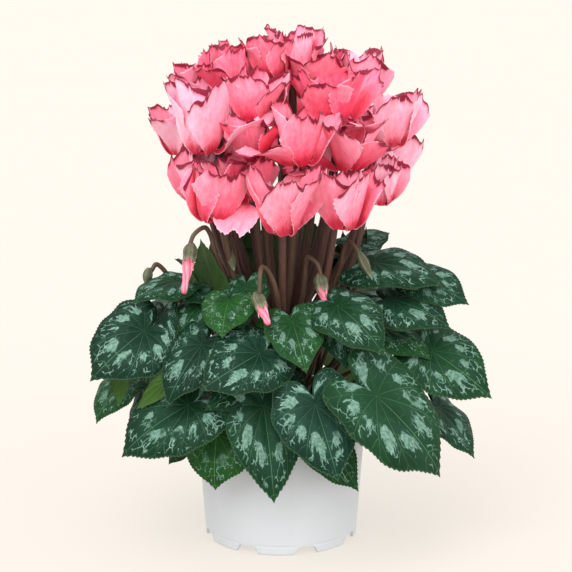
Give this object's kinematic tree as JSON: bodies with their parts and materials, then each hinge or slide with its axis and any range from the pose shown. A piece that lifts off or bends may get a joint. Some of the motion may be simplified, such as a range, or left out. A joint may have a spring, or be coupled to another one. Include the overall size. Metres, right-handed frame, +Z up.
{
  "type": "potted cyclamen",
  "caption": "Flowering cyclamen in a round tapered plastic pot: a dome of nodding pink blooms on thin stalks over a skirt of heart-shaped variegated leaves.",
  "frame": {"origin": "centre of the pot's underside, on the surface it stands on", "axes": "+Z up, +X to the right and -Y to the front as the picture shows the plant"},
  "size_m": [0.3115, 0.2775, 0.4084],
  "materials": {
    "pot_white": "satin",
    "soil_peat": "matte",
    "stalk_brown": "satin",
    "petal_pink": "matte",
    "leaf_green": "satin"
  },
  "bodies": {
    "root": {"pot": "pot_white", "soil": "soil_peat", "tuber_with_flower_stalks": "stalk_brown", "bloom_back_left": "petal_pink", "bloom_back_low_left": "petal_pink", "bloom_back_low_right": "petal_pink", "bloom_back_middle": "petal_pink", "bloom_back_right": "petal_pink", "bloom_back_side_left": "petal_pink", "bloom_big_left": "petal_pink", "bloom_far_left": "petal_pink", "bloom_far_right": "petal_pink", "bloom_low_far_right": "petal_pink", "bloom_low_front": "petal_pink", "bloom_low_inner": "petal_pink", "bloom_low_left": "petal_pink", "bloom_low_right": "petal_pink", "bloom_mid_far_right": "petal_pink", "bloom_mid_front": "petal_pink", "bloom_mid_front_left": "petal_pink", "bloom_mid_right": "petal_pink", "bloom_side_right": "petal_pink", "bloom_top_back": "petal_pink", "bloom_top_front": "petal_pink", "bloom_top_left": "petal_pink", "bloom_upper_far_left": "petal_pink", "bloom_upper_front_left": "petal_pink", "bloom_upper_front_right": "petal_pink", "bloom_upper_left": "petal_pink", "bloom_upper_middle": "petal_pink", "bloom_upper_right": "petal_pink", "bud_front": "petal_pink", "bud_left": "petal_pink", "bud_right": "petal_pink", "leaves_back_1": "leaf_green", "leaves_back_2": "leaf_green", "leaves_back_3": "leaf_green", "leaves_back_4": "leaf_green", "leaves_back_5": "leaf_green", "leaves_back_upper_right": "leaf_green", "leaves_front_heart": "leaf_green", "leaves_front_low": "leaf_green", "leaves_front_small": "leaf_green", "leaves_front_tucked": "leaf_green", "leaves_front_upper": "leaf_green", "leaves_front_upper_left": "leaf_green", "leaves_front_upper_right": "leaf_green", "leaves_left_centre": "leaf_green", "leaves_left_far_low": "leaf_green", "leaves_left_fold": "leaf_green", "leaves_left_low": "leaf_green", "leaves_left_side": "leaf_green", "leaves_left_upper": "leaf_green", "leaves_left_upright": "leaf_green", "leaves_right_big": "leaf_green", "leaves_right_curl": "leaf_green", "leaves_right_low": "leaf_green", "leaves_right_side": "leaf_green", "leaves_right_tucked": "leaf_green", "leaves_right_upper": "leaf_green"}
  },
  "joints": []
}
